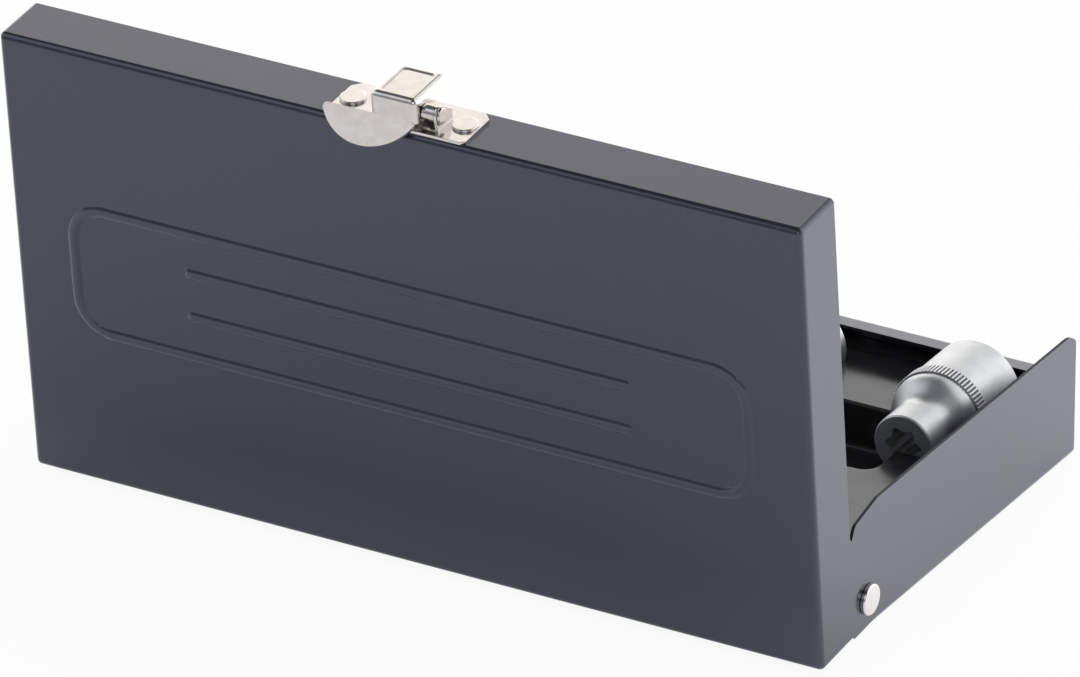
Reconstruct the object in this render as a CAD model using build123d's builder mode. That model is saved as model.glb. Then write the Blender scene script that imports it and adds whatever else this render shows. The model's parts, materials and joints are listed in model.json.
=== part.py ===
from build123d import *
from math import acos, atan2, cos, degrees, hypot, radians, sin
import os

# A flat sheet-steel case for a set of sockets, standing open as it does on a bench.
# +Z is up, the origin is the centre of the tray's underside, the latch side faces -Y
# and the hinge side +Y. The lid leans back on its stop.

# ---- driving dimensions, millimetres ----
sheet = 0.8             # steel of tray and lid
bend_radius = 1.7       # outside radius of the folds
lid_width = 215.0       # along X
lid_depth = 120.0       # hinge edge to latch edge
flange_depth = 16.0     # lid walls
closed_height = 33.9    # tray underside to lid face, shut
hinge_height = 10.9     # pin above the tray underside
hinge_inset = 7.1       # pin in from the lid's hinge edge
rear_gap = 0.2          # lid rear wall to tray rear wall, shut
stop_gap = 0.1          # lid rear wall to tray rear wall, at the open stop
front_gap = 1.6         # lid latch wall to tray front wall, shut
side_gap = 1.8          # lid wall to tray wall, each side
lid_rest_gap = 0.3      # lid to the top of the tray's sides, shut

end_wall_height = 21.4  # tray front and rear walls
lip_width = 5.4         # turned-in edge of those walls
front_round = 6.5       # rounded front corner of the tray's sides
rear_slope_run = 11.1   # long flat chamfer at the rear of the sides
rear_slope_drop = 2.8
rear_slope_end = 1.9    # where that chamfer ends, behind the pin
edge_round = 2.0        # softened corners of those edges

ear_radius = 4.9        # lid ear round the hinge pin
ear_rise = 20.5         # where the ear starts on the lid wall, above the pin
ear_corner = 2.2
lid_corner = 1.2        # upright corners of the lid
bead_length = 182.0     # pressed stiffening bead on the lid
bead_height = 34.0
bead_corner = 9.0
bead_arc = 2.5          # radius of the bead's rounded section
bead_rise = 0.5
rib_length = 118.0      # two straight ribs inside the bead
rib_spacing = 12.0

hinge_shank = 2.0       # radii of the hinge rivets
hinge_head = 3.9
hinge_head_thick = 1.2
hinge_tail = 3.1
hinge_tail_thick = 0.8
rivet_edge = 0.45       # rounding of rivet heads, as a share of their thickness
washer_radius = 4.5
running_fit = 0.08      # radial play of a pin in a hole that turns on it
seat_fit = 0.03         # radial play of a pin in a hole that holds it
head_gap = 0.15         # play under a rivet head that something turns against
washer_play = 0.1       # each side of the hinge washer

plate_length = 37.2     # latch plate on the lid
plate_width = 14.0
plate_thick = 0.8
plate_corner = 2.0
plate_edge_gap = 0.9    # plate edge in from the lid face
latch_pitch = 30.1      # its two rivets
latch_shank = 1.5
latch_head = 3.2
latch_head_thick = 0.7
latch_tail = 2.6
latch_tail_thick = 0.7
pin_from_edge = 3.8     # latch pin in from the plate's outer edge
pin_above_plate = 3.5
pin_radius = 1.2
pin_head = 1.9
pin_head_thick = 0.5
pin_play = 0.15         # under the pin's heads and beside the spacer
spacer_radius = 2.0
latch_ear = 2.2         # radius of the plate's upright ears round the pin
ear_front = 1.4         # foot of the ears in front of the pin
ear_back = 5.2          # and behind it
ear_back_height = 2.6   # height of the ears' back end above the plate
outer_ear_place = 9.8   # inner face of the ear outside the lever
ear_play = 0.25         # ear inside the lever to the lever's side

lever_width = 12.5
lever_length = 15.0
lever_height = 8.0      # lever top above the plate
lever_sheet = 0.8
lever_bend = 1.5
lever_lift = 1.7        # lever sides above the plate
lever_lug = 2.2         # radius of the lugs on the pin
lever_side_front = 1.9  # depth of the lever sides at the front, above their lugs
recess_margin = 2.0     # pressed recess on the lever top
recess_depth = 0.35
tab_length = 25.4       # half-moon thumb tab
tab_depth = 8.2
tab_corner = 1.0
tab_shift = 6.5         # tab centre from the lever centre
tab_droop = 46.0        # degrees below the lid's latch wall
tab_thick = 0.9
tab_root = 0.4          # tab's root inside the lever's front wall
hook_width = 5.0        # tooth on the lever's far wall
hook_drop = 1.7         # tooth below that wall
hook_slack = 0.7        # slot to tooth, each side

strike_width = 26.0
strike_thick = 0.9
strike_foot = 4.5       # strike's lower edge above the tray underside
strike_shoulder = 12.8  # where its tongue starts to stand off
strike_rise = 3.6       # height of that slope
strike_overlap = 2.6    # tongue over the latch plate, shut
strike_side_play = 0.65
strike_pitch = 18.0
strike_rivet_height = 8.6
strike_shank = 1.4
strike_head = 2.6
strike_head_thick = 0.9
strike_tail = 2.3
strike_tail_thick = 0.6
plate_clearance = 0.3   # tongue to the latch plate, shut

insert_gap = 0.4        # moulded insert to the tray walls, at its rim
skirt_inset = 1.4       # insert skirt in from its rim
rim_thick = 1.0
platform_height = 15.3  # above the tray underside
channel_floor = 3.2     # finger channels, above the tray underside
channel_width = 29.8
channel_overlap = 3.4   # the two channels run into each other by this
channel_corner = 4.0
channel_past = 1.8      # ends of a channel, short of the outermost sockets' axes
channel_short = 10.8
channel_edge = 0.8      # rounding of the channels' upper edges
channel_foot = 1.5      # and of their floors
ledge_width = 4.0       # raised ledge along the insert's long edges
ledge_rise = 1.6
cradle_gap = 0.3        # socket to its cradle
core_wall = 1.6         # moulding left round the hollows underneath
core_depth_left = 1.8   # moulding left above them

socket_length = 38.0
socket_radius = 12.0
socket_axis_height = 16.9
socket_pitch = 47.3
socket_end_room = 21.3      # axis of the outermost sockets from the tray's end walls
socket_nose_place = 10.8    # nose ends from the middle of the tray
nose_length = 8.0
shoulder_end = 17.0
band_width = 4.0            # raised band for the grip
band_rise = 0.25
rim_chamfer = 0.7
drive_square = 12.8
drive_depth = 15.5
drive_corner = 0.7
star_depth = 11.0
star_core = 0.39            # radius between the lobes, as a share of the lobe-to-lobe size
star_lobe = 0.12            # radius of a lobe, the same way
core_bore = 3.4
# nose radius and lobe-to-lobe size of each driver opening
socket_sizes = [(7.9, 9.6), (8.4, 10.3), (8.9, 11.4), (9.5, 12.6),
                (10.1, 13.8), (10.8, 15.0), (11.4, 16.2), (11.9, 17.4)]

# ---- derived sizes ----
hinge_drop = closed_height - hinge_height           # pin below the lid face, shut
tray_width = lid_width - 2 * sheet - 2 * side_gap
tray_rear = hinge_inset - sheet - rear_gap          # pin to the tray's rear face
tray_front = lid_depth - hinge_inset - sheet - front_gap
tray_length = tray_rear + tray_front
side_height = closed_height - sheet - lid_rest_gap
hinge_y = tray_length / 2 - tray_rear
rear_y = tray_length / 2
front_y = -tray_length / 2
inner_width = tray_width - 2 * sheet
inner_length = tray_length - 2 * sheet
socket_outermost = inner_width / 2 - socket_end_room
channel_far = socket_outermost - channel_past
channel_near = socket_outermost - channel_short

# The rear wall of the lid swings under the pin and stops on the tray's rear wall.
stop_reach = hypot(hinge_drop - flange_depth, hinge_inset)
stop_phase = atan2(hinge_inset, hinge_drop - flange_depth)
lean = acos((tray_rear + stop_gap) / stop_reach) - stop_phase

plate_middle = plate_edge_gap + plate_width / 2
pin_h = lid_depth + plate_thick + pin_above_plate   # latch pin, on the lid
pin_n = plate_edge_gap + pin_from_edge
row_count = len(socket_sizes) // 2
slot_height = lever_sheet + 3 * hook_slack

lid_up = Vector(0, sin(lean), cos(lean))
lid_in = Vector(0, -cos(lean), sin(lean))


def lid_point(x, h, n):
    """A point of the lid: across, up from its hinge edge, in from its face."""
    pin = Vector(0, hinge_y, hinge_height)
    return pin + Vector(x, 0, 0) + lid_up * (h - hinge_inset) + lid_in * (n - hinge_drop)


def lid_plane(x=0, h=0, n=0):
    """Parallel to the lid face, drawn across and up, pointing inwards."""
    return Plane(origin=lid_point(x, h, n), x_dir=(1, 0, 0), z_dir=lid_in)


def lid_side(x=0, h=0, n=0):
    """Square to the hinge axis, drawn up and in, pointing along +X."""
    return Plane(origin=lid_point(x, h, n), x_dir=lid_up, z_dir=(1, 0, 0))


def lid_edge(x=0, h=0, n=0):
    """Parallel to the latch wall, drawn across and towards the face, pointing out."""
    return Plane(origin=lid_point(x, h, n), x_dir=(1, 0, 0), z_dir=lid_up)


def corners_at(sketch, x, y):
    """Corners of a sketch at a place in its own plane."""
    return [v for v in sketch.vertices() if abs(v.X - x) < 0.01 and abs(v.Y - y) < 0.01]


def rivet_outline(grip, shank, head, head_thick, tail, tail_thick):
    """Half outline of a rivet along x, whose grip starts at 0 and ends at the head."""
    with BuildSketch() as outline:
        with BuildLine():
            Polyline((-tail_thick, 0), (-tail_thick, tail), (0, tail), (0, shank), (grip, shank),
                     (grip, head), (grip + head_thick, head), (grip + head_thick, 0),
                     (-tail_thick, 0))
        make_face()
        fillet(corners_at(outline, grip + head_thick, head), head_thick * rivet_edge)
        fillet(corners_at(outline, -tail_thick, tail), tail_thick * rivet_edge)
    return outline.sketch


def bead_section(radius, depth):
    """Round-topped section of a pressed bead, drawn across and outwards from the lid's face."""
    with BuildSketch() as section:
        with Locations((0, bead_rise - bead_arc)):
            Circle(radius)
        with Locations((0, bead_arc - depth)):
            Rectangle(4 * bead_arc, 2 * bead_arc, mode=Mode.INTERSECT)
    return section.sketch


def bead_outline():
    """Middle line of the long bead, on the lid's face."""
    with BuildSketch(lid_plane(0, lid_depth / 2, 0)) as outline:
        RectangleRounded(bead_length, bead_height, bead_corner)
    return outline.sketch.face().outer_wire()


def export(part, name):
    part.label = name
    export_step(part, "parts/" + name + ".step")


os.makedirs("parts", exist_ok=True)

# ---- tray ----
slope_y = hinge_y + rear_slope_end
slope_start = slope_y - rear_slope_run
with BuildPart() as tray_shell:
    with BuildSketch():
        Rectangle(tray_width, tray_length)
    extrude(amount=side_height)
    fillet(tray_shell.edges().filter_by(Axis.Z), bend_radius)
    fillet(tray_shell.faces().sort_by(Axis.Z)[0].edges(), bend_radius)
    offset(amount=-sheet, openings=tray_shell.faces().sort_by(Axis.Z)[-1])
    # front and rear walls are lower than the sides
    with BuildSketch(Plane.XY.offset(end_wall_height - bend_radius)):
        Rectangle(inner_width, tray_length)
    extrude(amount=side_height, mode=Mode.SUBTRACT)
    # outline of the sides, seen along X
    with BuildSketch(Plane.YZ) as side_outline:
        with BuildLine():
            Polyline((front_y, 0), (rear_y, 0), (rear_y, end_wall_height),
                     (slope_y, side_height - rear_slope_drop), (slope_start, side_height),
                     (front_y, side_height), (front_y, 0))
        make_face()
        fillet(corners_at(side_outline, front_y, side_height), front_round)
        fillet(corners_at(side_outline, slope_start, side_height)
               + corners_at(side_outline, slope_y, side_height - rear_slope_drop), edge_round)
    extrude(amount=tray_width, both=True, mode=Mode.INTERSECT)
    # turned-in lips on the two low walls
    lip_root = end_wall_height - 2 * bend_radius
    for wall_y, inward in ((front_y, 1), (rear_y, -1)):
        with BuildSketch(Plane.YZ.offset(-inner_width / 2)) as lip_outline:
            with BuildLine():
                Polyline((wall_y, lip_root), (wall_y, end_wall_height),
                         (wall_y + inward * lip_width, end_wall_height),
                         (wall_y + inward * lip_width, end_wall_height - sheet),
                         (wall_y + inward * sheet, end_wall_height - sheet),
                         (wall_y + inward * sheet, lip_root), (wall_y, lip_root))
            make_face()
            fillet(corners_at(lip_outline, wall_y, end_wall_height), bend_radius)
            fillet(corners_at(lip_outline, wall_y + inward * sheet, end_wall_height - sheet),
                   bend_radius - sheet)
        extrude(amount=inner_width)
    # holes for the hinge rivets and for the strike's rivets
    with BuildSketch(Plane.YZ.offset(-tray_width / 2)):
        with Locations((hinge_y, hinge_height)):
            Circle(hinge_shank + seat_fit)
    extrude(amount=tray_width, mode=Mode.SUBTRACT)
    with BuildSketch(Plane.XZ.offset(-front_y - 2 * sheet)):
        with Locations((0, strike_rivet_height)):
            with GridLocations(strike_pitch, 0, 2, 1):
                Circle(strike_shank + seat_fit)
    extrude(amount=4 * sheet, mode=Mode.SUBTRACT)
export(tray_shell.part, "tray_shell")


# ---- places of the sockets: two rows of four, turned end for end ----
def socket_place(index):
    """Plane at the middle of a socket's nose end, x running to its drive end."""
    side = -1 if index < row_count else 1
    across = side * (socket_outermost - (index % row_count) * socket_pitch)
    return Plane(origin=(across, side * socket_nose_place, socket_axis_height),
                 x_dir=(0, side, 0), z_dir=(side, 0, 0))


def cradle_outline(nose_radius):
    """Half outline of the room for a socket, from its axis outwards."""
    narrow = nose_radius + cradle_gap
    wide = socket_radius + cradle_gap
    far = socket_length + cradle_gap
    with BuildSketch() as outline:
        with BuildLine():
            Polyline((shoulder_end, wide), (far, wide), (far, 0), (-cradle_gap, 0),
                     (-cradle_gap, narrow), (nose_length, narrow))
            Spline((nose_length, narrow), (shoulder_end, wide), tangents=((1, 0), (1, 0)))
        make_face()
    return outline.sketch


# ---- moulded insert ----
rim_width = inner_width - 2 * insert_gap
rim_length = inner_length - 2 * insert_gap
skirt_width = rim_width - 2 * skirt_inset
skirt_length = rim_length - 2 * skirt_inset
channel_outer = channel_width - channel_overlap / 2     # its outer edge from the middle
with BuildPart() as insert:
    with BuildSketch(Plane.XY.offset(sheet)):
        RectangleRounded(skirt_width, skirt_length, skirt_inset)
    extrude(amount=platform_height - sheet)
    with BuildSketch(Plane.XY.offset(platform_height - rim_thick)):
        RectangleRounded(rim_width, rim_length, skirt_inset)
    extrude(amount=rim_thick)
    # raised ledges under the tray's lips
    with BuildSketch(Plane.XY.offset(platform_height)):
        for side in (-1, 1):
            with Locations((0, side * (rim_length - ledge_width) / 2)):
                RectangleRounded(rim_width, ledge_width, ledge_rise)
    extrude(amount=ledge_rise)
    # finger channels
    with BuildSketch(Plane.XY.offset(channel_floor)) as channels:
        for side in (-1, 1):
            with Locations((side * (channel_far - channel_near) / 2,
                            side * (channel_outer - channel_width / 2))):
                Rectangle(channel_far + channel_near, channel_width)
        fillet(channels.vertices(), channel_corner)
    extrude(amount=platform_height, mode=Mode.SUBTRACT)
    for level, radius in ((platform_height, channel_edge), (channel_floor, channel_foot)):
        fillet(insert.edges().filter_by_position(Axis.Z, level - 0.01, level + 0.01)
               .filter_by_position(Axis.Y, -channel_outer - 0.01, channel_outer + 0.01)
               .filter_by_position(Axis.X, -channel_far - 0.01, channel_far + 0.01), radius)
    # a cradle for each socket
    for index, (nose_radius, _) in enumerate(socket_sizes):
        place = socket_place(index)
        with BuildSketch(place):
            add(cradle_outline(nose_radius))
        revolve(axis=Axis(place.origin, place.x_dir), mode=Mode.SUBTRACT)
    # hollows underneath, between neighbouring cradles and beside the last of each row
    cradle_half = socket_radius + cradle_gap + core_wall
    core_start = channel_outer + core_wall
    core_end = skirt_length / 2 - core_wall
    with BuildSketch(Plane.XY.offset(sheet)):
        for side in (-1, 1):
            middle = side * (core_start + core_end) / 2
            for gap_index in range(row_count - 1):
                across = side * (socket_outermost - (gap_index + 0.5) * socket_pitch)
                with Locations((across, middle)):
                    RectangleRounded(socket_pitch - 2 * cradle_half, core_end - core_start, core_wall)
            last = (row_count - 1) * socket_pitch - socket_outermost + cradle_half
            last_end = skirt_width / 2 - core_wall
            with Locations((-side * (last + last_end) / 2, middle)):
                RectangleRounded(last_end - last, core_end - core_start, core_wall)
    extrude(amount=platform_height - core_depth_left - sheet, mode=Mode.SUBTRACT)
export(insert.part, "insert")

# ---- sockets ----
for index, (nose_radius, star_size) in enumerate(socket_sizes):
    place = socket_place(index)
    toward_drive = place.x_dir
    drive_end = place.origin + toward_drive * socket_length
    with BuildPart() as socket:
        with BuildSketch(place) as socket_outline:
            with BuildLine():
                Polyline((shoulder_end, socket_radius - band_rise), (shoulder_end, socket_radius),
                         (shoulder_end + band_width, socket_radius),
                         (shoulder_end + band_width, socket_radius - band_rise),
                         (socket_length, socket_radius - band_rise), (socket_length, 0),
                         (0, 0), (0, nose_radius), (nose_length, nose_radius))
                Spline((nose_length, nose_radius), (shoulder_end, socket_radius - band_rise),
                       tangents=((1, 0), (1, 0)))
            make_face()
            chamfer(corners_at(socket_outline, 0, nose_radius), rim_chamfer / 2)
            chamfer(corners_at(socket_outline, socket_length, socket_radius - band_rise),
                    rim_chamfer)
        revolve(axis=Axis(place.origin, toward_drive))
        # six-lobed driver opening in the nose
        lobe = star_size * star_lobe
        with BuildSketch(Plane(origin=place.origin, x_dir=(1, 0, 0), z_dir=toward_drive)):
            Circle(star_size * star_core)
            with PolarLocations(star_size / 2 - lobe, 6):
                Circle(lobe)
        extrude(amount=star_depth, mode=Mode.SUBTRACT)
        # square opening for the drive
        with BuildSketch(Plane(origin=drive_end, x_dir=(1, 0, 0), z_dir=-toward_drive)):
            RectangleRounded(drive_square, drive_square, drive_corner)
        extrude(amount=drive_depth, mode=Mode.SUBTRACT)
        # bore that joins them
        with BuildSketch(Plane(origin=place.origin, x_dir=(1, 0, 0), z_dir=toward_drive)):
            Circle(core_bore)
        extrude(amount=socket_length, mode=Mode.SUBTRACT)
    export(socket.part, "socket_" + str(index + 1))

# ---- lid ----
wall_side = Axis((0, 0, 0), tuple(lid_in))
bead_path = bead_outline()
with BuildPart() as lid_shell:
    with BuildSketch(lid_plane(0, lid_depth / 2, 0)):
        Rectangle(lid_width, lid_depth)
    extrude(amount=flange_depth)
    fillet(lid_shell.edges().filter_by(wall_side), lid_corner)
    fillet(lid_shell.faces().sort_by(wall_side)[0].edges(), bend_radius)
    offset(amount=-sheet, openings=lid_shell.faces().sort_by(wall_side)[-1])
    # ears that carry the hinge pins
    ear_start = flange_depth - hinge_drop
    ear_turn = degrees(atan2(ear_start, ear_rise) + acos(ear_radius / hypot(ear_start, ear_rise)))
    for side in (-1, 1):
        ear_x = side * (lid_width - sheet) / 2 - sheet / 2
        with BuildSketch(lid_side(ear_x, hinge_inset, hinge_drop)) as ear_outline:
            with BuildLine() as ear_line:
                turn = CenterArc((0, 0), ear_radius, ear_turn, 90 - ear_turn)
                Polyline(turn @ 1, (-hinge_inset, ear_radius), (-hinge_inset, ear_start),
                         (-hinge_inset + lid_corner, ear_start - lid_corner),
                         (ear_rise, ear_start - lid_corner), (ear_rise, ear_start), turn @ 0)
            make_face()
            fillet(corners_at(ear_outline, -hinge_inset, ear_radius), ear_corner)
        extrude(amount=sheet)
    with BuildSketch(lid_side(-lid_width / 2, hinge_inset, hinge_drop)):
        Circle(hinge_shank + running_fit)
    extrude(amount=lid_width, mode=Mode.SUBTRACT)
    # rivet holes of the latch plate
    with BuildSketch(lid_edge(0, lid_depth - 2 * sheet, plate_middle)):
        with GridLocations(latch_pitch, 0, 2, 1):
            Circle(latch_shank + seat_fit)
    extrude(amount=3 * sheet, mode=Mode.SUBTRACT)
    # pressed bead and ribs: proud outside, hollow inside
    for radius, depth, mode in ((bead_arc, sheet / 2, Mode.ADD),
                                (bead_arc - sheet, 2 * sheet, Mode.SUBTRACT)):
        with BuildSketch(Plane(origin=bead_path @ 0, x_dir=(bead_path % 0).cross(lid_in),
                               z_dir=bead_path % 0)):
            add(bead_section(radius, depth))
        sweep(path=bead_path, mode=mode)
        for rib in (-1, 1):
            rib_h = lid_depth / 2 + rib * rib_spacing / 2
            with BuildSketch(Plane(origin=lid_point(-rib_length / 2, rib_h, 0), x_dir=lid_up,
                                   z_dir=(1, 0, 0))):
                add(mirror(bead_section(radius, depth), about=Plane.XZ))
            extrude(amount=rib_length, mode=mode)
            for end in (-1, 1):
                rib_end = lid_point(end * rib_length / 2, rib_h, 0)
                with BuildSketch(Plane(origin=rib_end, x_dir=(1, 0, 0), z_dir=lid_up)):
                    add(bead_section(radius, depth))
                    with Locations((-bead_arc, 0)):
                        Rectangle(2 * bead_arc, 4 * bead_arc, mode=Mode.SUBTRACT)
                revolve(axis=Axis(rib_end, lid_in), mode=mode)
export(lid_shell.part, "lid_shell")

# ---- hinge rivets and washers ----
grip = (lid_width - inner_width) / 2 + head_gap
for side, name in ((-1, "left"), (1, "right")):
    with BuildPart() as hinge_rivet:
        with BuildSketch(Plane(origin=(side * inner_width / 2, hinge_y, hinge_height),
                               x_dir=(side, 0, 0), z_dir=(0, -side, 0))):
            add(rivet_outline(grip, hinge_shank, hinge_head, hinge_head_thick,
                              hinge_tail, hinge_tail_thick))
        revolve(axis=Axis((0, hinge_y, hinge_height), (1, 0, 0)))
    export(hinge_rivet.part, "hinge_rivet_" + name)
    with BuildPart() as hinge_washer:
        with BuildSketch(Plane(origin=(side * (tray_width / 2 + washer_play), hinge_y, hinge_height),
                               x_dir=(0, 1, 0), z_dir=(side, 0, 0))):
            Circle(washer_radius)
            Circle(hinge_shank + running_fit, mode=Mode.SUBTRACT)
        extrude(amount=side_gap - 2 * washer_play)
    export(hinge_washer.part, "hinge_washer_" + name)

# ---- latch plate, its rivets, pin and spacer ----
inner_ear_x = lever_width / 2 - lever_sheet - ear_play - plate_thick
outer_ear_x = -outer_ear_place - plate_thick
with BuildPart() as latch_base:
    with BuildSketch(lid_edge(0, lid_depth, plate_middle)) as plate_outline:
        Rectangle(plate_length, plate_width)
        chamfer(plate_outline.vertices().group_by(Axis.Y)[0], plate_corner)
        chamfer(plate_outline.vertices().group_by(Axis.Y)[-1], plate_corner / 2)
        with GridLocations(latch_pitch, 0, 2, 1):
            Circle(latch_shank + seat_fit, mode=Mode.SUBTRACT)
    extrude(amount=plate_thick)
    foot = pin_above_plate + plate_thick
    for ear_x in (inner_ear_x, outer_ear_x):
        with BuildSketch(lid_side(ear_x, pin_h, pin_n)):
            Circle(latch_ear)
            with Locations((-foot + (ear_back_height + plate_thick) / 2, (ear_back - ear_front) / 2)):
                Rectangle(ear_back_height + plate_thick, ear_back + ear_front)
            make_hull()
            Circle(pin_radius + seat_fit, mode=Mode.SUBTRACT)
        extrude(amount=plate_thick)
export(latch_base.part, "latch_base")

with BuildPart() as latch_rivets:
    for side in (-1, 1):
        start = lid_point(side * latch_pitch / 2, lid_depth - sheet, plate_middle)
        with BuildSketch(Plane(origin=start, x_dir=lid_up, z_dir=(1, 0, 0))):
            add(rivet_outline(sheet + plate_thick, latch_shank, latch_head, latch_head_thick,
                              latch_tail, latch_tail_thick))
        revolve(axis=Axis(start, lid_up))
export(latch_rivets.part, "latch_rivets")

pin_start = outer_ear_x - pin_play
pin_end = lever_width / 2 + pin_play
with BuildPart() as latch_pin:
    with BuildSketch(lid_side(pin_start, pin_h, pin_n)):
        Circle(pin_radius)
    extrude(amount=pin_end - pin_start)
    with BuildSketch(lid_side(pin_end, pin_h, pin_n)):
        Circle(pin_head)
    extrude(amount=pin_head_thick)
    with BuildSketch(lid_side(pin_start - pin_head_thick, pin_h, pin_n)):
        Circle(pin_head)
    extrude(amount=pin_head_thick)
    fillet(latch_pin.faces().sort_by(Axis.X)[0].edges()
           + latch_pin.faces().sort_by(Axis.X)[-1].edges(), pin_head_thick * rivet_edge)
export(latch_pin.part, "latch_pin")

spacer_length = outer_ear_place - lever_width / 2 - 2 * pin_play
with BuildPart() as latch_spacer:
    with BuildSketch(lid_side(-outer_ear_place + pin_play, pin_h, pin_n)):
        Circle(spacer_radius)
        Circle(pin_radius + seat_fit, mode=Mode.SUBTRACT)
    extrude(amount=spacer_length)
export(latch_spacer.part, "latch_spacer")

# ---- latch lever ----
lever_h = lid_depth + plate_thick      # the plate's outer face, on the lid
droop = radians(tab_droop)
tab_face = lid_up * cos(droop) - lid_in * sin(droop)
tab_root_h = lever_h + lever_lift + tab_thick * cos(droop)
with BuildPart() as latch_lever:
    with BuildSketch(lid_edge(0, lever_h + lever_lift, plate_edge_gap + lever_length / 2)):
        Rectangle(lever_width, lever_length)
    extrude(amount=lever_height - lever_lift)
    lever_up = Axis((0, 0, 0), tuple(lid_up))
    fillet(latch_lever.edges().filter_by(lever_up), lever_bend)
    fillet(latch_lever.faces().sort_by(lever_up)[-1].edges(), lever_bend)
    offset(amount=-lever_sheet, openings=latch_lever.faces().sort_by(lever_up)[0])
    # sides cut back to a wedge, with a lug on the pin
    with BuildSketch(lid_side(-lever_width / 2, lever_h, plate_edge_gap)) as side_cut:
        with BuildLine():
            Polyline((0, lever_bend), (lever_height - lever_side_front, lever_bend),
                     (lever_lift, lever_length - lever_bend), (0, lever_length - lever_bend),
                     (0, lever_bend))
        make_face()
        with Locations((pin_above_plate, pin_from_edge)):
            Circle(lever_lug, mode=Mode.SUBTRACT)
    extrude(amount=lever_width, mode=Mode.SUBTRACT)
    for side in (-1, 1):
        lug_x = side * (lever_width - lever_sheet) / 2 - lever_sheet / 2
        with BuildSketch(lid_side(lug_x, pin_h, pin_n)):
            Circle(lever_lug)
        extrude(amount=lever_sheet)
    # far wall cut away but for the tooth that drops into the strike
    for side in (-1, 1):
        clear = (lever_width / 2 - lever_sheet - hook_width / 2)
        with BuildSketch(lid_edge(side * (hook_width + clear) / 2, lever_h,
                                  plate_edge_gap + lever_length - lever_sheet / 2)):
            Rectangle(clear, 2 * lever_sheet)
        extrude(amount=lever_lift + hook_drop, mode=Mode.SUBTRACT)
    # half-moon thumb tab, folded out of the front face
    with BuildSketch(Plane(origin=lid_point(0, tab_root_h, plate_edge_gap), x_dir=(1, 0, 0),
                           z_dir=tab_face)) as tab_outline:
        with BuildLine():
            Line((tab_shift - tab_length / 2, 0), (tab_shift + tab_length / 2, 0))
            ThreePointArc((tab_shift + tab_length / 2, 0), (tab_shift, tab_depth),
                          (tab_shift - tab_length / 2, 0))
        make_face()
        fillet(tab_outline.vertices(), tab_corner)
        root_start = tab_shift - tab_length / 2 + 2 * tab_corner
        root_end = lever_width / 2 - lever_bend
        with Locations(((root_start + root_end) / 2, -tab_root / 2)):
            Rectangle(root_end - root_start, tab_root)
    extrude(amount=-tab_thick)
    with BuildSketch(lid_side(-lever_width / 2, pin_h, pin_n)):
        Circle(pin_radius + running_fit)
    extrude(amount=lever_width, mode=Mode.SUBTRACT)
    # pressed recess on the top
    with BuildSketch(lid_edge(0, lever_h + lever_height, plate_edge_gap + lever_length / 2)):
        RectangleRounded(lever_width - 2 * recess_margin, lever_length - 2 * recess_margin,
                         recess_margin / 2)
    extrude(amount=-recess_depth, mode=Mode.SUBTRACT)
export(latch_lever.part, "latch_lever")

# ---- strike on the tray ----
stand_off = front_gap + sheet + plate_thick + plate_clearance
strike_top = closed_height - plate_edge_gap - plate_width + strike_overlap
slot_low = closed_height - plate_edge_gap - lever_length - hook_slack
tongue_width = lever_width - 2 * lever_sheet - 2 * strike_side_play
with BuildPart() as strike_plate:
    with BuildSketch(Plane(origin=(-strike_width / 2, front_y, 0), x_dir=(0, -1, 0),
                           z_dir=(-1, 0, 0))) as strike_outline:
        with BuildLine():
            Polyline((0, strike_foot), (strike_thick, strike_foot), (strike_thick, strike_shoulder),
                     (stand_off + strike_thick, strike_shoulder + strike_rise),
                     (stand_off + strike_thick, strike_top), (stand_off, strike_top),
                     (stand_off, strike_shoulder + strike_rise + strike_thick / 2),
                     (0, strike_shoulder + strike_thick / 2), (0, strike_foot))
        make_face()
        fillet(corners_at(strike_outline, strike_thick, strike_shoulder)
               + corners_at(strike_outline, stand_off,
                            strike_shoulder + strike_rise + strike_thick / 2), strike_thick / 2)
        fillet(corners_at(strike_outline, 0, strike_shoulder + strike_thick / 2)
               + corners_at(strike_outline, stand_off + strike_thick,
                            strike_shoulder + strike_rise), strike_thick)
    extrude(amount=-strike_width)
    # tongue narrower than the foot, with the slot for the lever's tooth
    for side in (-1, 1):
        with BuildSketch(Plane.XZ.offset(-front_y - strike_thick)):
            with Locations((side * (strike_width + tongue_width) / 4,
                            strike_shoulder + strike_top / 2)):
                Rectangle((strike_width - tongue_width) / 2, strike_top)
        extrude(amount=2 * stand_off, mode=Mode.SUBTRACT)
    with BuildSketch(Plane.XZ.offset(-front_y)):
        with Locations((0, slot_low + slot_height / 2)):
            Rectangle(hook_width + 2 * hook_slack, slot_height)
        with Locations((0, strike_rivet_height)):
            with GridLocations(strike_pitch, 0, 2, 1):
                Circle(strike_shank + seat_fit)
    extrude(amount=2 * stand_off, mode=Mode.SUBTRACT)
export(strike_plate.part, "strike_plate")

with BuildPart() as strike_rivets:
    for side in (-1, 1):
        start = Vector(side * strike_pitch / 2, front_y + sheet, strike_rivet_height)
        with BuildSketch(Plane(origin=start, x_dir=(0, -1, 0), z_dir=(1, 0, 0))):
            add(rivet_outline(sheet + strike_thick, strike_shank, strike_head, strike_head_thick,
                              strike_tail, strike_tail_thick))
        revolve(axis=Axis(start, (0, -1, 0)))
export(strike_rivets.part, "strike_rivets")
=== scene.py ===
import json
import math

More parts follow.
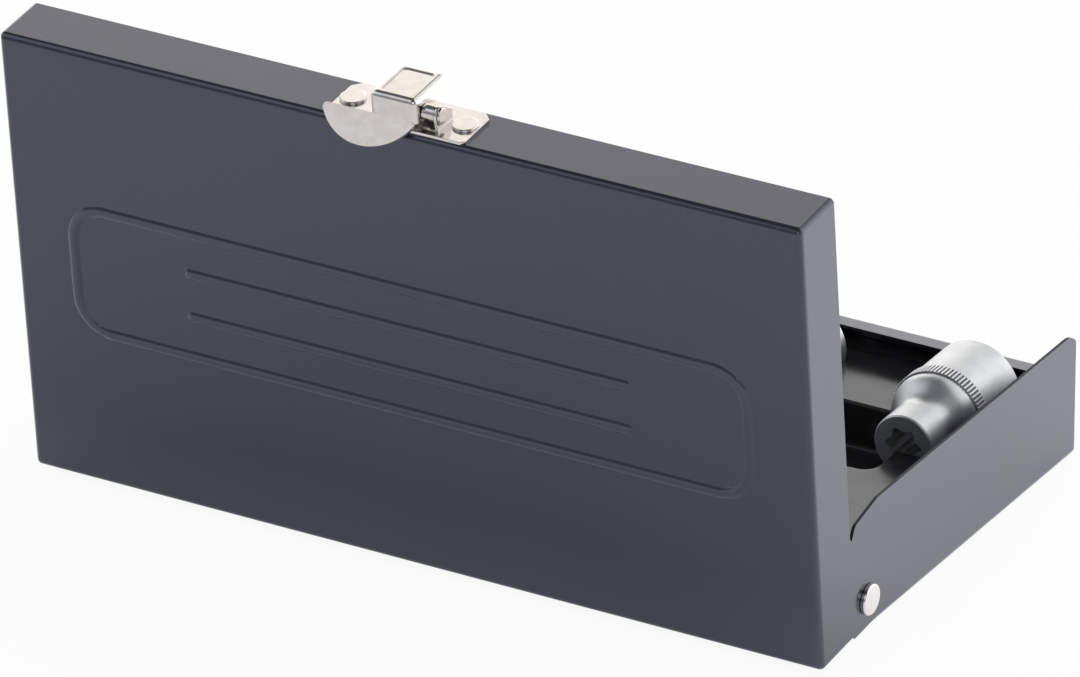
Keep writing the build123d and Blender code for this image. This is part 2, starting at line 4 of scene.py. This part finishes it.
import bmesh
import bpy
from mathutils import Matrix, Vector


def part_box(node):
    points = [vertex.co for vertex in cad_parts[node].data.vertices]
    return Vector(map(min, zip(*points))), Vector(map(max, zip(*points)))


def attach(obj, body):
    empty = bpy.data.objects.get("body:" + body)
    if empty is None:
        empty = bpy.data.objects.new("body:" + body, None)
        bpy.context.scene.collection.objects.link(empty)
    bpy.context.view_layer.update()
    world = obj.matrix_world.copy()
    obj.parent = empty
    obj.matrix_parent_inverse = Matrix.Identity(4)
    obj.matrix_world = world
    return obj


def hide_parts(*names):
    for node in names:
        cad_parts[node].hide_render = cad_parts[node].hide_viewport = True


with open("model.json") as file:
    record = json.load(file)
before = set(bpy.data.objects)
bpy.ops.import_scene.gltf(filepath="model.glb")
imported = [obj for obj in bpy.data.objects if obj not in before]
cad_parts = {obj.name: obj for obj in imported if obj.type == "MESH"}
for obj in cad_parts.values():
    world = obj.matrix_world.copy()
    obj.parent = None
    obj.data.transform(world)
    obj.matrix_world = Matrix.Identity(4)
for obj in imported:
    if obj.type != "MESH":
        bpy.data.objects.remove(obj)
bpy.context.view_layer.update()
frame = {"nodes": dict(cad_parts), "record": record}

mm = 0.001
nodes = frame["nodes"]
print("frame loaded:", len(nodes), "nodes")


def rgba(colour):
    return (*colour, 1.0)


def addNode(tree, kind, inputs=None, **settings):
    node = tree.nodes.new(kind)
    for key, value in settings.items():
        setattr(node, key, value)
    for key, value in (inputs or {}).items():
        if isinstance(value, bpy.types.NodeSocket):
            tree.links.new(value, node.inputs[key])
        else:
            node.inputs[key].default_value = value
    return node


def calc(tree, operation, *values):
    return addNode(tree, "ShaderNodeMath", dict(enumerate(values)), operation=operation).outputs[0]


def between(tree, factor, low, high, start=0, end=1, curve="LINEAR"):  # low at start, high at end
    node = addNode(tree, "ShaderNodeMapRange",
                   {"Value": factor, "From Min": start, "From Max": end, "To Min": low, "To Max": high},
                   interpolation_type=curve)
    return node.outputs["Result"]


def mixColour(tree, factor, first, second):
    node = addNode(tree, "ShaderNodeMix", data_type="RGBA")
    tree.links.new(factor, node.inputs["Factor"])
    for key, value in (("A", first), ("B", second)):
        if isinstance(value, bpy.types.NodeSocket):
            tree.links.new(value, node.inputs[key])
        else:
            node.inputs[key].default_value = rgba(value)
    return node.outputs["Result"]


def noise(tree, place, pattern):
    return addNode(tree, "ShaderNodeTexNoise",
                   {"Vector": place, "Scale": pattern["scale"], "Detail": pattern["detail"],
                    "Roughness": 0.55}).outputs["Fac"]


def patches(tree, place, pattern, low=0, high=1):  # clouds that run from low to high
    return between(tree, noise(tree, place, pattern), low, high, *pattern["span"])


def relief(tree, place, pattern, under=None):
    node = addNode(tree, "ShaderNodeBump", {"Height": noise(tree, place, pattern),
                                            "Distance": pattern["height"], "Strength": 1.0})
    if under:
        tree.links.new(under, node.inputs["Normal"])
    return node.outputs["Normal"]


def sizeAlong(tree, vector, axis):  # one part of the vector, without its sign
    along = addNode(tree, "ShaderNodeSeparateXYZ", {"Vector": vector}).outputs[axis]
    return calc(tree, "ABSOLUTE", along)


def newFinish(name):
    material = bpy.data.materials.new(name)
    material.use_nodes = True
    tree = material.node_tree
    place = addNode(tree, "ShaderNodeTexCoord").outputs["Object"]
    return material, tree, tree.nodes["Principled BSDF"], place


def finished(shape, name, material, smooth=True):
    mesh = bpy.data.meshes.new(name)
    for face in shape.faces:
        face.smooth = smooth
    shape.to_mesh(mesh)
    shape.free()
    piece = bpy.data.objects.new(name, mesh)
    bpy.context.collection.objects.link(piece)
    mesh.materials.append(material)
    return piece


# Camera, at the photo's viewing angle
camera = {
    "azimuth": 209.806,  # degrees, 0 looks along +Y
    "elevation": 26.381,
    "distance": 2.93656,
    "target": (-6.41 * mm, 29.61 * mm, 44.0 * mm),
    "lens": 412.72,  # in millimetres, as the sensor
    "sensor": 36.0,
    "clipEnd": 20.0,
}


def addCamera(settings):
    azimuth = math.radians(settings["azimuth"])
    elevation = math.radians(settings["elevation"])
    forward = Vector((-math.sin(azimuth) * math.cos(elevation),
                      math.cos(azimuth) * math.cos(elevation),
                      -math.sin(elevation)))
    data = bpy.data.cameras.new("camera")
    data.lens = settings["lens"]
    data.sensor_width = settings["sensor"]
    data.clip_end = settings["clipEnd"]
    obj = bpy.data.objects.new("camera", data)
    bpy.context.collection.objects.link(obj)
    obj.location = Vector(settings["target"]) - forward * settings["distance"]
    obj.rotation_euler = forward.to_track_quat("-Z", "Y").to_euler()
    bpy.context.scene.camera = obj


# Soft lamps, all turned to one point in the open case
lampTarget = (0, 20 * mm, 50 * mm)
lamps = {
    "keyRight": {"from": (-0.95, -0.80, 0.95), "size": 2.4, "power": 20.0, "tint": (1.0, 0.99, 0.98)},
    "softBack": {"from": (0.71, -1.24, 0.68), "size": 1.3, "power": 5.8, "tint": (1.0, 0.97, 0.91)},
    "glint": {"from": (0.62, 0.96, 1.03), "size": 0.36, "power": 0.34, "tint": (1.0, 1.0, 1.0)},
    "fillLeft": {"from": (1.2, 0.5, 1.1), "size": 1.2, "power": 4.0, "tint": (0.96, 0.98, 1.0)},
    "fillFront": {"from": (-0.7, 1.6, 1.1), "size": 1.0, "power": 4.0, "tint": (0.97, 0.98, 1.0)},
}


def addLamps(settings, target):
    for name, lamp in settings.items():
        data = bpy.data.lights.new(name, "AREA")
        data.size = lamp["size"]
        data.energy = lamp["power"]
        data.color = lamp["tint"]
        obj = bpy.data.objects.new(name, data)
        bpy.context.collection.objects.link(obj)
        obj.location = lamp["from"]
        obj.rotation_euler = (Vector(target) - obj.location).to_track_quat("-Z", "Y").to_euler()


# Studio walls, which the paint and the metal mirror
surroundings = {
    "background": (1.0, 1.0, 1.0),  # as the camera sees it
    "horizon": (1.0, 1.0, 1.0),
    "front": (0.32, 0.33, 0.36),  # the darker room behind the camera
    "frontSpan": (0.05, 0.50),  # where it begins and is full, towards +Y
    "zenith": (0.10, 0.105, 0.12),
    "zenithSpan": (0.48, 0.62),  # the same, upwards
    "evenLight": (0.50, 0.505, 0.52),  # on matt surfaces
}


def addSurroundings(settings):
    world = bpy.data.worlds.new("studio")
    bpy.context.scene.world = world
    world.use_nodes = True
    tree = world.node_tree
    tree.nodes.clear()
    path = addNode(tree, "ShaderNodeLightPath").outputs
    direction = addNode(tree, "ShaderNodeTexCoord").outputs["Generated"]
    along = addNode(tree, "ShaderNodeSeparateXYZ", {"Vector": direction}).outputs
    turn = between(tree, along["Y"], 0, 1, *settings["frontSpan"], curve="SMOOTHSTEP")
    rise = between(tree, along["Z"], 0, 1, *settings["zenithSpan"], curve="SMOOTHSTEP")
    walls = mixColour(tree, turn, settings["horizon"], settings["front"])
    room = mixColour(tree, rise, walls, settings["zenith"])
    seen = mixColour(tree, path["Is Camera Ray"], room, settings["background"])
    direct = calc(tree, "MAXIMUM", path["Is Camera Ray"], path["Is Glossy Ray"])
    direct = calc(tree, "MAXIMUM", direct, path["Is Transmission Ray"])
    even = addNode(tree, "ShaderNodeBackground", {"Color": rgba(settings["evenLight"])})
    bright = addNode(tree, "ShaderNodeBackground", {"Color": seen})
    both = addNode(tree, "ShaderNodeMixShader", {0: direct, 1: even.outputs[0], 2: bright.outputs[0]})
    addNode(tree, "ShaderNodeOutputWorld", {"Surface": both.outputs[0]})


# Pale floor, which keeps the shadow of the case
floor = {
    "size": 12.0,
    "drop": 0.3 * mm,  # below the tray's underside
    "colour": (0.90, 0.902, 0.91),
    "seenGlow": 0.92,  # share of plain white that the camera sees
    "mirroredGlowAndPaintedShade": (0.75, 0.10),  # strength in reflections, on the latch side and the hinge side; the fall to the hinge side is painted shade, the case's shadow as the lid's face mirrors it
    "mirroredSpan": (20 * mm, 100 * mm),  # it changes over this stretch, towards +Y
}


def makeFloorFinish(settings):
    material = bpy.data.materials.new("paleFloor")
    material.use_nodes = True
    tree = material.node_tree
    tree.nodes.clear()
    path = addNode(tree, "ShaderNodeLightPath").outputs
    place = addNode(tree, "ShaderNodeTexCoord").outputs["Object"]
    matt = addNode(tree, "ShaderNodeBsdfDiffuse", {"Color": rgba(settings["colour"])})
    white = addNode(tree, "ShaderNodeEmission", {"Color": rgba((1, 1, 1)), "Strength": 1.0})
    share = calc(tree, "MULTIPLY", path["Is Camera Ray"], settings["seenGlow"])
    seen = addNode(tree, "ShaderNodeMixShader", {0: share, 1: matt.outputs[0], 2: white.outputs[0]})
    ahead = addNode(tree, "ShaderNodeSeparateXYZ", {"Vector": place}).outputs["Y"]
    # painted shade: the glow seen in reflections weakens towards +Y
    strength = between(tree, ahead, *settings["mirroredGlowAndPaintedShade"], *settings["mirroredSpan"])
    shiny = calc(tree, "MAXIMUM", path["Is Glossy Ray"], path["Is Transmission Ray"])
    mirrored = addNode(tree, "ShaderNodeEmission", {"Strength": calc(tree, "MULTIPLY", shiny, strength)})
    both = addNode(tree, "ShaderNodeAddShader", {0: seen.outputs[0], 1: mirrored.outputs[0]})
    addNode(tree, "ShaderNodeOutputMaterial", {"Surface": both.outputs[0]})
    return material


def addFloor(settings):
    shape = bmesh.new()
    bmesh.ops.create_grid(shape, x_segments=1, y_segments=1, size=settings["size"] / 2)
    bmesh.ops.translate(shape, verts=shape.verts, vec=(0, 0, -settings["drop"]))
    piece = finished(shape, "floor", makeFloorFinish(settings), smooth=False)


# Sprayed paint of the tray and the lid
paint = {
    "dark": (0.0125, 0.0135, 0.0190),
    "light": (0.0155, 0.0165, 0.0230),
    "tone": {"scale": 18.0, "detail": 3.0, "span": (0.3, 0.7)},
    "roughness": (0.13, 0.19),
    "gloss": {"scale": 55.0, "detail": 3.0, "span": (0.3, 0.7)},
    "ior": 1.80,
    "sheen": (0.79, 0.81, 1.0),  # tint of its reflections
    "wave": {"scale": 22.0, "detail": 1.0, "height": 0.05 * mm},  # the flat sheet isn't quite flat
    "peel": {"scale": 1500.0, "detail": 2.0, "height": 0.006 * mm},  # orange peel of the coat
    "speckScale": 330.0,
    "speckRadius": 0.035,
    "speckColour": (0.10, 0.105, 0.12),
}
paintedRimShade = {  # the thin rim of the tray's side walls, where the sheet was cut; painted shade: it is coloured near-black to stand in for the dark room that the rim mirrors
    # painted shade of the rim, near-black
    "colour": (0.006, 0.006, 0.008),
    "roughness": 0.6,  # on top of the paint's own
    "depth": 1.1 * mm,  # in from the tray's outer side
    "fade": 0.2 * mm,
    "turned": (0.55, 0.80),  # sideways part of the normal, from the rim to the wall
}


# mask of the tray's top rim, which gets the painted shade
def findPaintedRimShade(tree, place, rim):
    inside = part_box("tray_shell")[1].x - rim["depth"]
    facing = sizeAlong(tree, addNode(tree, "ShaderNodeTexCoord").outputs["Normal"], "X")
    turned = between(tree, facing, 1, 0, *rim["turned"])
    outer = between(tree, sizeAlong(tree, place, "X"), 0, 1, inside, inside + rim["fade"])
    return calc(tree, "MULTIPLY", turned, outer)


def makePaint(settings, name, rim=None):
    material, tree, shader, place = newFinish(name)
    tone = patches(tree, place, settings["tone"])
    colour = mixColour(tree, tone, settings["dark"], settings["light"])
    cells = addNode(tree, "ShaderNodeTexVoronoi", {"Vector": place, "Scale": settings["speckScale"]})
    speck = calc(tree, "LESS_THAN", cells.outputs["Distance"], settings["speckRadius"])
    colour = mixColour(tree, speck, colour, settings["speckColour"])
    roughness = patches(tree, place, settings["gloss"], *settings["roughness"])
    if rim:
        # painted shade: the rim turns near-black and rougher
        onPaintedRimShade = findPaintedRimShade(tree, place, rim)
        colour = mixColour(tree, onPaintedRimShade, colour, rim["colour"])
        roughness = calc(tree, "MULTIPLY_ADD", onPaintedRimShade, rim["roughness"], roughness)
    tree.links.new(colour, shader.inputs["Base Color"])
    tree.links.new(roughness, shader.inputs["Roughness"])
    shader.inputs["IOR"].default_value = settings["ior"]
    shader.inputs["Specular Tint"].default_value = rgba(settings["sheen"])
    wave = relief(tree, place, settings["wave"])
    tree.links.new(relief(tree, place, settings["peel"], wave), shader.inputs["Normal"])
    return material


# Glossy black moulding of the insert
blackPlastic = {
    "colour": (0.015, 0.015, 0.0165),
    "dust": (0.036, 0.035, 0.035),
    "tone": {"scale": 140.0, "detail": 5.0, "span": (0.55, 0.8)},
    "roughness": (0.13, 0.24),
    "gloss": {"scale": 90.0, "detail": 3.0, "span": (0.3, 0.7)},
    "ior": 1.46,
    "sheen": (0.93, 0.94, 1.0),
    "wave": {"scale": 70.0, "detail": 1.0, "height": 0.12 * mm},
    "grain": {"scale": 2200.0, "detail": 2.0, "height": 0.008 * mm},
}


def makeBlackPlastic(settings):
    material, tree, shader, place = newFinish("glossBlackMoulding")
    tone = patches(tree, place, settings["tone"])
    colour = mixColour(tree, tone, settings["colour"], settings["dust"])
    roughness = patches(tree, place, settings["gloss"], *settings["roughness"])
    tree.links.new(colour, shader.inputs["Base Color"])
    tree.links.new(roughness, shader.inputs["Roughness"])
    shader.inputs["IOR"].default_value = settings["ior"]
    shader.inputs["Specular Tint"].default_value = rgba(settings["sheen"])
    wave = relief(tree, place, settings["wave"])
    tree.links.new(relief(tree, place, settings["grain"], wave), shader.inputs["Normal"])
    return material


# Satin chrome of the sockets, polished on the shoulder
socketSteel = {
    "bright": (0.60, 0.61, 0.625),
    "dull": (0.52, 0.53, 0.545),
    "tone": {"scale": 240.0, "detail": 4.0, "span": (0.3, 0.7)},
    "paintedGrooveShade": (0.10, 0.10, 0.105),  # painted shade between the teeth of the grip band, laid on the socket's body beneath them
    "satin": 0.48,
    "polished": 0.40,
    "shoulder": (18.0 * mm, 28.2 * mm),  # from the tray's middle line, out along the socket
    "noseBlend": 1.0 * mm,
    "bodyBlend": 0.2 * mm,
    "smear": {"scale": 300.0, "detail": 4.0},
    "smearSpread": 0.10,  # of the roughness, from the smoothest to the dullest
    "blast": {"scale": 5200.0, "detail": 1.0, "height": 0.006 * mm},
}


def makeSocketSteel(settings, name, band=None):
    material, tree, shader, place = newFinish(name)
    out = sizeAlong(tree, place, "Y")
    tone = patches(tree, place, settings["tone"])
    colour = mixColour(tree, tone, settings["dull"], settings["bright"])
    # painted shade: the body under the teeth is darkened, as the shade between them
    if band:
        inner, outer = band
        inPaintedGrooveShade = calc(tree, "MULTIPLY", calc(tree, "GREATER_THAN", out, inner),
                      calc(tree, "LESS_THAN", out, outer))
        colour = mixColour(tree, inPaintedGrooveShade, colour, settings["paintedGrooveShade"])
    tree.links.new(colour, shader.inputs["Base Color"])
    shader.inputs["Metallic"].default_value = 1.0
    start, end = settings["shoulder"]
    rise = between(tree, out, 0, 1, start, start + settings["noseBlend"])
    fall = between(tree, out, 1, 0, end - settings["bodyBlend"], end)
    shoulder = calc(tree, "MULTIPLY", rise, fall)
    level = between(tree, shoulder, settings["satin"], settings["polished"])
    spread = settings["smearSpread"]
    smear = calc(tree, "MULTIPLY_ADD", noise(tree, place, settings["smear"]), spread, -spread / 2)
    tree.links.new(calc(tree, "ADD", level, smear), shader.inputs["Roughness"])
    tree.links.new(relief(tree, place, settings["blast"]), shader.inputs["Normal"])
    return material


# Bright plating of the latch, the strike and the rivets
nickel = {
    "bright": (0.66, 0.625, 0.60),
    "dull": (0.61, 0.575, 0.55),
    "tone": {"scale": 420.0, "detail": 4.0, "span": (0.35, 0.65)},
    "roughness": (0.12, 0.20),
    "gloss": {"scale": 500.0, "detail": 4.0, "span": (0.3, 0.7)},
    "wave": {"scale": 90.0, "detail": 1.0, "height": 0.05 * mm},
    "haze": {"scale": 260.0, "detail": 3.0, "height": 0.002 * mm},
}


def makeNickel(settings):
    material, tree, shader, place = newFinish("brightNickel")
    tone = patches(tree, place, settings["tone"])
    colour = mixColour(tree, tone, settings["dull"], settings["bright"])
    roughness = patches(tree, place, settings["gloss"], *settings["roughness"])
    tree.links.new(colour, shader.inputs["Base Color"])
    shader.inputs["Metallic"].default_value = 1.0
    tree.links.new(roughness, shader.inputs["Roughness"])
    wave = relief(tree, place, settings["wave"])
    tree.links.new(relief(tree, place, settings["haze"], wave), shader.inputs["Normal"])
    return material


# Rolled edges: a bevelled copy stands for the plain node
softEdges = {
    "tray_shell": {"body": "tray", "width": 0.14 * mm},
    "lid_shell": {"body": "lid", "width": 0.14 * mm},
    "insert": {"body": "tray", "width": 0.45 * mm},
    "latch_base": {"body": "lid", "width": 0.12 * mm},
    "latch_lever": {"body": "lever", "width": 0.14 * mm},
    "latch_rivets": {"body": "lid", "width": 0.10 * mm},
}
softening = {
    "merge": 0.002 * mm,
    "flat": 0.4,  # degrees, up to which two faces become one
    "sharp": 32.0,  # degrees, from which an edge is rolled
    "segments": 2,
    "weight": 90,  # how strongly the big faces keep the shading flat
}


def soften(nodeName, edge, material):
    shape = bmesh.new()
    shape.from_mesh(nodes[nodeName].data)
    bmesh.ops.remove_doubles(shape, verts=shape.verts, dist=softening["merge"])
    bmesh.ops.dissolve_limit(shape, angle_limit=math.radians(softening["flat"]),
                             verts=shape.verts, edges=shape.edges)
    piece = finished(shape, nodeName + "_soft", material)
    for name in ("custom_normal", "sharp_edge"):  # the copy gets its shading anew
        if name in piece.data.attributes:
            piece.data.attributes.remove(piece.data.attributes[name])
    bevel = piece.modifiers.new("edges", "BEVEL")
    bevel.width = edge["width"]
    bevel.segments = softening["segments"]
    bevel.limit_method = "ANGLE"
    bevel.angle_limit = math.radians(softening["sharp"])
    flatten = piece.modifiers.new("flatFacesStayFlat", "WEIGHTED_NORMAL")
    flatten.weight = softening["weight"]
    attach(piece, edge["body"])
    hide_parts(nodeName)


# Fine teeth round each socket
knurl = {
    "count": 78,
    "length": 4.0 * mm,
    "width": 0.52 * mm,
    "height": 0.30 * mm,
    "sunk": 0.05 * mm,  # into the socket's body
    "fromNose": 19.0 * mm,
    "bevel": 0.07 * mm,
}


def grooveSpan(settings):  # how far the teeth reach, from the tray's middle line
    low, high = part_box("socket_1")
    nose = min(abs(low.y), abs(high.y))
    return [nose + settings["fromNose"] + side * settings["length"] / 2 for side in (-1, 1)]


def addKnurl(number, settings, material):
    low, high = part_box("socket_" + str(number))
    middle = (low + high) / 2
    outward = 1 if middle.y > 0 else -1
    nose = low.y if outward > 0 else high.y
    radius = (high.z - low.z) / 2
    place = Vector((middle.x, nose + outward * settings["fromNose"], middle.z))
    shape = bmesh.new()
    bmesh.ops.create_cube(shape, size=1)
    bmesh.ops.scale(shape, verts=shape.verts,
                    vec=(settings["width"], settings["length"], settings["height"]))
    topEdges = [e for e in shape.edges if all(v.co.z > 0 for v in e.verts)]
    bmesh.ops.bevel(shape, geom=topEdges, offset=settings["bevel"], affect="EDGES", segments=1,
                    profile=0.5, material=-1)
    rise = radius - settings["sunk"] + settings["height"] / 2
    bmesh.ops.translate(shape, verts=shape.verts, vec=place + Vector((0, 0, rise)))
    turn = 2 * math.pi / settings["count"]
    bmesh.ops.spin(shape, geom=shape.verts[:] + shape.edges[:] + shape.faces[:], cent=place,
                   axis=(0, 1, 0), angle=turn * (settings["count"] - 1), steps=settings["count"] - 1,
                   use_duplicate=True)
    bmesh.ops.recalc_face_normals(shape, faces=shape.faces)
    piece = finished(shape, "grip_band_" + str(number), material, smooth=False)
    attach(piece, "socket_" + str(number))


slots = {part["node"]: part["material_slot"] for part in frame["record"]["subparts"]}
finishes = {
    "dark_paint": makePaint(paint, "anthracitePaint"),
    "black_plastic": makeBlackPlastic(blackPlastic),
    "nickel": makeNickel(nickel),
    "socket_steel": makeSocketSteel(socketSteel, "satinChrome", grooveSpan(knurl)),
}
# the tray's paint, with the painted shade on its rim
trayPaintWithRimShade = makePaint(paint, "anthraciteTrayPaintRimShade", paintedRimShade)
toothSteel = makeSocketSteel(socketSteel, "satinChromeTeeth")
for nodeName, node in nodes.items():
    node.data.materials.clear()
    node.data.materials.append(finishes[slots[nodeName]])
print("finishes made:", len(finishes))

for nodeName, edge in softEdges.items():
    soften(nodeName, edge, trayPaintWithRimShade if nodeName == "tray_shell" else finishes[slots[nodeName]])
print("edges softened:", len(softEdges))

socketNumbers = sorted(int(name.split("_")[1]) for name in nodes if name.startswith("socket_"))
for number in socketNumbers:
    addKnurl(number, knurl, toothSteel)
print("grip bands made:", len(socketNumbers))

bpy.context.scene.view_settings.view_transform = "Standard"
addCamera(camera)
addLamps(lamps, lampTarget)
addSurroundings(surroundings)
addFloor(floor)
print("camera, lamps and floor placed")
